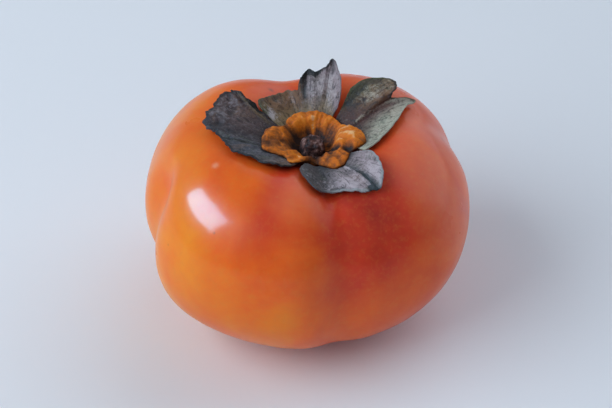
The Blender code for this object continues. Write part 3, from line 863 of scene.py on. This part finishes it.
def make_sepal(name, node, ribs, material, crumple, ragged, curl, pale, seed):
    """A crumpled sheet over the ribs.  A rib is base azimuth, base radius, edge azimuth, edge radius,
    lift half way and lift at the edge, in degrees and millimetres.  The ragged and curl values, in
    millimetres, and the pale spots go across the sepal from its first rib to its last."""
    base_azimuth, base_radius, edge_azimuth, edge_radius, mid_lift, edge_lift = (
        across_sheet(values) for values in zip(*ribs))
    along = np.linspace(0.0, 1.0, SEPAL_ROWS)[None, :]
    across = np.linspace(0.0, 1.0, SEPAL_COLUMNS)[:, None]
    line = np.stack(np.broadcast_arrays(across * 10.0, seed, 0.0), axis=-1)
    torn = noise_at(line, 0.8, seed) + 0.7 * noise_at(line, 0.27, seed + 3.0)
    edge_radius = edge_radius + across_sheet(ragged) * torn
    ends = np.minimum(across, 1.0 - across)
    azimuth = base_azimuth + angle_between(edge_azimuth, base_azimuth) * along
    radius = (base_radius + (edge_radius - base_radius) * along) * MM
    lift = (SEPAL_BASE_LIFT * (1.0 - along) * (1.0 - 2.0 * along)
            + 4.0 * mid_lift * MM * along * (1.0 - along)
            + edge_lift * MM * along * (2.0 * along - 1.0))
    fan = np.stack(np.broadcast_arrays(across * 9.0, 1.6 * along, seed), axis=-1)
    folds = ridge_at(fan, 1.0, seed) - 0.5
    plan = turned(radius, azimuth, seed * MM)
    crinkle = noise_at(plan, CRINKLE_WIDTH, seed)
    crinkle = crinkle + 0.55 * noise_at(plan, FINE_CRINKLE_WIDTH, seed + 5.0)
    pits = noise_at(plan, PIT_WIDTH, seed + 9.0)
    grow = 0.15 + 0.85 * smoothstep(along / ROLL_START)
    relief = (0.60 * folds + 0.65 * crinkle + 0.18 * pits) * grow
    rolled = smoothstep((along - ROLL_START) / (1.0 - ROLL_START)) * across_sheet(curl) * MM
    lift = lift + crumple * MM * relief + rolled
    lift = np.maximum(lift, CLEARANCE + CLEARANCE_GAIN * along)
    mesh, column, row = sheet_mesh(name, over_calyx(azimuth, radius, lift))
    edge = smoothstep((along - 1.0 + EDGE_BAND) / EDGE_BAND)
    rim = np.maximum(edge, smoothstep(1.0 - ends / SIDE_BAND) * along)
    values = {"along": along, "across": across, "relief": relief, "rim": rim,
              "pale": patch_sum(pale, across, along)}
    for value_name, value in values.items():
        set_values(mesh, value_name, np.broadcast_to(value, relief.shape)[column, row])
    piece = make_object(name, mesh, material, node)
    thickness = piece.modifiers.new("thickness", "SOLIDIFY")
    thickness.thickness = SEPAL_THICKNESS
    thickness.offset = 0.0


def make_right_sepal():
    ribs = ((-22, 10.0, -30, 14.0, 1.3, 1.4),
            (-8, 9.0, -16, 15.6, 1.3, 1.4),
            (3, 8.6, 2, 18.0, 1.3, 1.4),
            (12, 8.6, 17, 21.6, 1.3, 1.4),
            (19, 8.6, 25, 24.6, 1.5, 1.8),
            (24, 8.6, 30, 28.0, 1.6, 1.4),
            (27, 8.6, 30, 21.6, 2.2, 2.6),
            (30, 8.6, 30, 21.8, 2.8, 4.2),
            (35, 8.6, 33, 23.4, 2.9, 5.0),
            (40, 8.6, 38, 24.0, 2.9, 5.3),
            (45, 8.6, 44, 22.2, 2.9, 5.3),
            (50, 8.6, 50, 19.4, 2.7, 5.1),
            (54, 8.6, 55, 15.6, 2.3, 4.2))
    tones = ((0.0, SILVER_GREEN), (0.28, SILVER_GREEN), (0.43, ROSE), (0.52, MAROON), (0.62, UMBER),
             (0.80, OLIVE), (1.0, MOSS))
    rims = ((0.0, SILVER_GREEN), (0.36, SILVER_GREEN), (0.43, MOSS), (0.55, BLACK), (0.74, BLACK),
            (0.84, MOSS), (1.0, MOSS))
    pale = ((0.37, 0.92, 0.10, 0.20, 1.9), (0.14, 0.70, 0.12, 0.5, 0.5), (0.74, 0.66, 0.16, 0.28, 0.50),
            (0.54, 0.38, 0.05, 0.2, 0.6), (0.415, 1.0, 0.025, 0.07, -1.6),
            (0.30, 0.42, 0.10, 0.14, -0.7), (0.58, 0.85, 0.06, 0.3, -0.5))
    material = sepal_material("sepal_olive_grey", tones, base_tone=MAROON, base_reach=0.80,
                              rim_tones=rims, pale_and_highlight_tone=(0.50, 0.46, 0.38), seed=1.0)
    make_sepal("sepal_right_leaf", "sepal_right", ribs, material, crumple=0.42,
               ragged=(0.3, 0.3, 0.3, 0.4, 0.4),
               curl=(0.2, 0.2, 0.2, 0.3, 0.2, -0.2, -0.6, -0.7, -0.4), pale=pale, seed=11.0)


def make_back_sepal():
    ribs = ((61, 8.6, 57, 11.0, 1.9, 2.8),
            (65, 8.6, 60, 13.4, 2.8, 5.2),
            (69, 8.6, 67, 15.8, 3.3, 7.2),
            (74, 8.6, 74, 18.0, 3.6, 9.1),
            (81, 8.6, 78, 16.4, 3.5, 8.0),
            (89, 8.6, 87, 15.8, 3.3, 7.1),
            (96, 8.6, 94, 17.0, 3.1, 6.9),
            (101, 8.6, 100, 16.0, 2.6, 5.8),
            (105, 8.6, 103, 15.6, 1.8, 3.4),
            (112, 8.6, 110, 17.0, 1.4, 2.0),
            (122, 8.6, 122, 16.4, 1.3, 1.8),
            (131, 8.6, 133, 16.0, 1.3, 1.8),
            (140, 8.6, 142, 15.8, 1.3, 1.7),
            (149, 8.7, 149, 14.0, 1.4, 1.9))
    tones = ((0.0, SLATE), (0.05, LAVENDER_SHEEN_GREY), (0.42, LAVENDER_SHEEN_GREY), (0.50, SLATE), (0.60, UMBER),
             (0.86, UMBER), (1.0, MOSS))
    rims = ((0.0, LAVENDER_SHEEN_GREY), (0.18, LAVENDER_SHEEN_GREY), (0.24, BLACK), (0.56, BLACK), (0.66, UMBER),
            (1.0, MOSS))
    pale = ((0.20, 0.60, 0.12, 0.4, 0.60), (0.36, 0.70, 0.10, 0.3, 0.45), (0.95, 0.50, 0.06, 0.2, 1.1),
            (0.43, 0.97, 0.12, 0.07, -1.8), (0.29, 0.40, 0.03, 0.3, -0.5))
    material = sepal_material("sepal_lavender_grey", tones, base_tone=BEIGE, base_reach=0.72,
                              rim_tones=rims, pale_and_highlight_tone=(0.52, 0.47, 0.50), seed=2.0)
    make_sepal("sepal_back_leaf", "sepal_back", ribs, material, crumple=0.38,
               ragged=(0.2, 0.4, 0.5, 0.7, 0.7, 0.5),
               curl=(0.0, 0.3, 0.0, 0.4, 0.9, 0.9, 0.3, 0.2, 0.4, 0.5), pale=pale, seed=23.0)


def make_left_sepal():
    ribs = ((150.5, 9.0, 150.5, 15.4, 1.5, 2.2),
            (160, 8.6, 153, 17.8, 1.7, 2.8),
            (166, 8.6, 151, 20.0, 1.9, 3.0),
            (173, 8.6, 154, 22.2, 1.9, 3.2),
            (181, 8.6, 161, 24.0, 1.8, 2.8),
            (189, 8.6, 170, 24.2, 1.7, 2.4),
            (197, 8.6, 179, 24.8, 1.6, 2.1),
            (205, 8.6, 186, 24.4, 1.5, 1.7),
            (211, 8.6, 189, 22.4, 1.4, 1.5),
            (220, 8.6, 201, 21.8, 1.4, 1.4),
            (229, 8.6, 215, 20.0, 1.4, 1.4),
            (238, 8.6, 230, 18.4, 1.4, 1.4),
            (246, 8.8, 243, 16.8, 1.4, 1.4),
            (252, 9.4, 251, 15.6, 1.4, 1.4))
    tones = ((0.0, CHARCOAL), (0.10, OLIVE), (0.18, PLUM), (0.36, PLUM), (0.50, CHARCOAL),
             (0.60, CHARCOAL), (0.66, BLUE_GREY), (0.78, BLUE_GREY), (0.94, BARK))
    rims = ((0.0, BLACK), (0.42, BLACK), (0.50, BLUE_GREY), (0.58, BLUE_GREY), (0.64, BLACK),
            (1.0, BLACK))
    pale = ((0.53, 0.95, 0.04, 0.2, -0.2), (0.30, 0.80, 0.12, 0.25, 0.45), (0.76, 0.75, 0.10, 0.3, 0.10),
            (0.66, 0.6, 0.012, 0.5, -1.6), (0.03, 0.8, 0.05, 0.4, -1.2), (0.30, 0.25, 0.20, 0.2, -0.4))
    material = sepal_material("sepal_charcoal", tones, base_tone=CHARCOAL, base_reach=0.55,
                              rim_tones=rims, pale_and_highlight_tone=(0.26, 0.24, 0.27), seed=3.0)
    make_sepal("sepal_left_leaf", "sepal_left", ribs, material, crumple=0.80,
               ragged=(0.3, 0.5, 1.2, 1.5, 1.6, 1.6, 1.3, 0.7, 0.6, 0.5),
               curl=(0.6, 0.9, 0.7, 0.5, 0.7, 0.4, 0.2, 0.1, 0.1, 0.2, 0.2), pale=pale, seed=37.0)


def make_front_sepal():
    ribs = ((259, 9.5, 259, 15.4, 1.4, 1.4),
            (265, 8.8, 266, 19.2, 1.4, 1.5),
            (271, 8.6, 272, 21.4, 1.4, 1.5),
            (278, 8.6, 279, 20.8, 1.4, 1.5),
            (285, 8.6, 287, 20.8, 1.4, 1.4),
            (292, 8.6, 294, 22.2, 1.4, 1.4),
            (298, 8.6, 299, 23.4, 1.4, 1.3),
            (303, 8.6, 304, 24.2, 1.4, 1.5),
            (308, 8.6, 308, 25.4, 1.9, 2.9),
            (313, 8.8, 312, 23.8, 2.0, 3.3),
            (318, 9.2, 317, 21.2, 1.9, 3.4),
            (323, 9.6, 321, 18.2, 1.9, 3.2),
            (327, 10.0, 324, 15.2, 1.7, 2.6))
    tones = ((0.0, SLATE), (0.28, SLATE), (0.42, LAVENDER_SHEEN_GREY), (0.60, LAVENDER_SHEEN_GREY), (0.64, SLATE),
             (0.70, LAVENDER_SHEEN_GREY), (1.0, LAVENDER_SHEEN_GREY))
    rims = ((0.0, SLATE), (0.20, SLATE), (0.32, BLUE_PALE), (0.54, BLUE_PALE), (0.58, BLACK),
            (0.64, BLACK), (0.68, BLUE_PALE), (1.0, BLUE_PALE))
    # the small pale spot at 0.60 across, 0.36 along is a painted highlight, and the dark spots at 0.625
    # and 0.60 across are painted shade in a crease and under the curled edge
    pale = ((0.48, 0.75, 0.12, 0.22, 0.8), (0.30, 0.85, 0.16, 0.12, 0.4), (0.80, 0.85, 0.16, 0.3, 0.4),
            (0.625, 0.78, 0.013, 0.34, -2.4), (0.60, 0.98, 0.04, 0.08, -2.8),
            (0.60, 0.36, 0.03, 0.07, 1.6), (0.74, 0.90, 0.08, 0.2, 0.8))
    material = sepal_material("sepal_front_grey", tones, base_tone=SLATE, base_reach=0.55,
                              rim_tones=rims, pale_and_highlight_tone=(0.54, 0.47, 0.52), seed=4.0)
    make_sepal("sepal_front_leaf", "sepal_front", ribs, material, crumple=0.38,
               ragged=(0.3, 0.4, 0.4, 0.4, 0.3),
               curl=(0.1, 0.1, 0.2, 0.2, 0.0, -0.5, 0.0, 0.2, 0.3), pale=pale, seed=53.0)


def make_sepals():
    make_right_sepal()
    make_back_sepal()
    make_left_sepal()
    make_front_sepal()


# --- Underside --------------------------------------------------------------------------------------
def make_blossom_tip():
    """A small four-lobed husk, as high as the frame's."""
    mesh, polar, azimuth = sphere_mesh("blossom_tip_husk", TIP_MESH)
    around = turned(1.0, azimuth, np.cos(polar))
    petals = 1.0 + TIP_PETALS * np.cos(np.radians(4.0 * azimuth)) * np.sin(polar)
    radius = TIP_RADIUS * np.sin(polar) * petals * (1.0 + 0.18 * noise_at(around * 3.0, 1.0, 2.0))
    low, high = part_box("blossom_tip")
    middle = (low[2] + high[2]) / 2.0
    half = (high[2] - low[2]) / 2.0
    z = middle + half * np.cos(polar) * 0.95 + 0.10 * MM * noise_at(around * 5.0, 1.0, 4.0)
    set_points(mesh, turned(radius, azimuth, z - SHIFT[2]))
    make_object("blossom_tip_husk", mesh, husk_material(), "blossom_tip")


# --- Stage ------------------------------------------------------------------------------------------
def make_floor():
    bpy.ops.mesh.primitive_plane_add(size=FLOOR_SIZE, location=(0.0, 0.0, 0.0))
    floor = bpy.context.object
    floor.name = "floor"
    floor.data.materials.append(floor_material())


def make_area_light(name, direction, centre, size, power, colour):
    """A rectangular light at the window's distance from the centre, facing it."""
    light = bpy.data.lights.new(name, "AREA")
    light.shape = "RECTANGLE"
    light.size, light.size_y = size
    light.energy = power
    light.color = colour
    lamp = bpy.data.objects.new(name, light)
    lamp.location = centre + direction.normalized() * WINDOW_DISTANCE
    lamp.rotation_euler = (centre - lamp.location).to_track_quat("-Z", "Y").to_euler()
    bpy.context.scene.collection.objects.link(lamp)
    return lamp


def make_window(centre):
    """The window's soft light, and apart from it the reflection of its bright part."""
    window = make_area_light("window", WINDOW_DIRECTION, centre, WINDOW_SIZE, WINDOW_POWER, WINDOW_COLOUR)
    window.visible_glossy = False
    gleam = make_area_light("window_gleam", GLEAM_DIRECTION, centre, GLEAM_SIZE, GLEAM_POWER, GLEAM_COLOUR)
    gleam.visible_diffuse = False


def make_room():
    """Light from all round, stronger from a bright wall behind on the right."""
    room = bpy.data.worlds.new("room")
    bpy.context.scene.world = room
    room.use_nodes = True
    nodes = room.node_tree.nodes
    links = room.node_tree.links
    way = nodes.new("ShaderNodeTexCoord")
    towards_wall = nodes.new("ShaderNodeVectorMath")
    towards_wall.operation = "DOT_PRODUCT"
    towards_wall.inputs[1].default_value = BRIGHT_WALL_DIRECTION.normalized()
    strength = nodes.new("ShaderNodeMapRange")
    strength.interpolation_type = "SMOOTHSTEP"
    strength.inputs["From Min"].default_value = BRIGHT_WALL_EDGE
    strength.inputs["From Max"].default_value = BRIGHT_WALL_CORE
    strength.inputs["To Min"].default_value = ROOM_STRENGTH
    strength.inputs["To Max"].default_value = BRIGHT_WALL_STRENGTH
    sky = nodes["Background"]
    sky.inputs["Color"].default_value = (*SKY_COLOUR, 1.0)
    links.new(way.outputs["Generated"], towards_wall.inputs[0])
    links.new(towards_wall.outputs["Value"], strength.inputs["Value"])
    links.new(strength.outputs["Result"], sky.inputs["Strength"])


def make_camera(aim):
    tilt = math.radians(CAMERA_ELEVATION)
    data = bpy.data.cameras.new("camera")
    data.lens = CAMERA_LENS
    data.sensor_width = CAMERA_SENSOR
    data.clip_start = CAMERA_NEAREST
    data.clip_end = CAMERA_FARTHEST
    camera = bpy.data.objects.new("camera", data)
    camera.location = aim + Vector((0.0, -math.cos(tilt), math.sin(tilt))) * CAMERA_DISTANCE
    camera.rotation_euler = (math.pi / 2.0 - tilt, 0.0, 0.0)
    bpy.context.scene.collection.objects.link(camera)
    bpy.context.scene.camera = camera


bpy.context.scene.view_settings.view_transform = "Standard"
aim_point = Vector((SHIFT[0], SHIFT[1], -REST_LEVEL))
make_camera(aim_point)
make_room()
make_window(aim_point)
make_floor()
make_fruit()
make_ring()
make_stub()
make_sepals()
make_blossom_tip()
bpy.context.view_layer.update()
